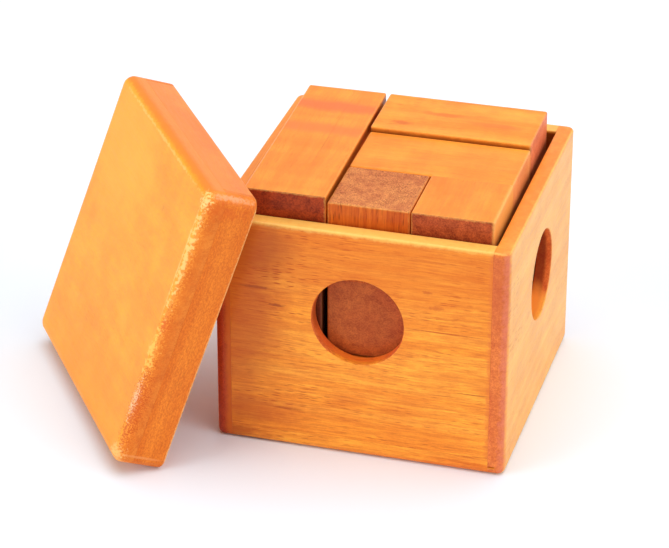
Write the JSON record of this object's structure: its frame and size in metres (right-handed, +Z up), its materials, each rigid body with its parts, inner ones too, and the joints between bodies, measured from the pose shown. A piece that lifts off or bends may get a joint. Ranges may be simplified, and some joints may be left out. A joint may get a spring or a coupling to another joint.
{
  "type": "wooden puzzle box",
  "caption": "Lidded square wooden box with finger holes in its walls, filled by a cube puzzle of loose glued-up wooden pieces, with its lid leaning beside it.",
  "frame": {"origin": "middle of the box's underside, on the table", "axes": "+X to the right along the front wall, +Y towards the back wall, +Z up"},
  "size_m": [0.1293, 0.0975, 0.0717],
  "materials": {
    "box_wood": "clear satin lacquer",
    "lid_wood": "clear satin lacquer, worn at the edges",
    "puzzle_wood": "clear satin lacquer, dark end grain"
  },
  "bodies": {
    "box": {"bottom_board": "box_wood", "left_wall": "box_wood", "right_wall": "box_wood", "front_wall": "box_wood", "back_wall": "box_wood"},
    "lid": {"lid_panel": "lid_wood", "lid_left_rail": "lid_wood", "lid_right_rail": "lid_wood", "lid_front_rail": "lid_wood", "lid_back_rail": "lid_wood"},
    "right_twist": {"right_twist_bar": "puzzle_wood", "right_twist_side_cube": "puzzle_wood", "right_twist_top_cube": "puzzle_wood"},
    "ell": {"ell_bar": "puzzle_wood", "ell_cube": "puzzle_wood"},
    "tripod": {"tripod_bar": "puzzle_wood", "tripod_side_cube": "puzzle_wood", "tripod_top_cube": "puzzle_wood"},
    "zed": {"zed_lower_bar": "puzzle_wood", "zed_upper_bar": "puzzle_wood"},
    "left_twist": {"left_twist_bar": "puzzle_wood", "left_twist_side_cube": "puzzle_wood", "left_twist_top_cube": "puzzle_wood"},
    "tee": {"tee_cube": "puzzle_wood", "tee_bar": "puzzle_wood"},
    "angle": {"angle_bar": "puzzle_wood", "angle_cube": "puzzle_wood"}
  },
  "joints": [
    {"name": "lid_lift_off", "type": "slide", "parent": "box", "child": "lid", "axis": [-0.7669, -0.537, 0.3514], "range_m": [0, 0.08]},
    {"name": "right_twist_lift", "type": "slide", "parent": "box", "child": "right_twist", "axis": [0, 0, 1], "range_m": [0, 0.06]},
    {"name": "ell_lift", "type": "slide", "parent": "right_twist", "child": "ell", "axis": [0, 0, 1], "range_m": [0, 0.06]},
    {"name": "zed_lift", "type": "slide", "parent": "ell", "child": "zed", "axis": [0, 0, 1], "range_m": [0, 0.04]},
    {"name": "tee_lift", "type": "slide", "parent": "zed", "child": "tee", "axis": [0, 0, 1], "range_m": [0, 0.04]},
    {"name": "tripod_lift", "type": "slide", "parent": "right_twist", "child": "tripod", "axis": [0, 0, 1], "range_m": [0, 0.06]},
    {"name": "left_twist_lift", "type": "slide", "parent": "tripod", "child": "left_twist", "axis": [0, 0, 1], "range_m": [0, 0.04]},
    {"name": "angle_lift", "type": "slide", "parent": "left_twist", "child": "angle", "axis": [0, 0, 1], "range_m": [0, 0.02]}
  ]
}
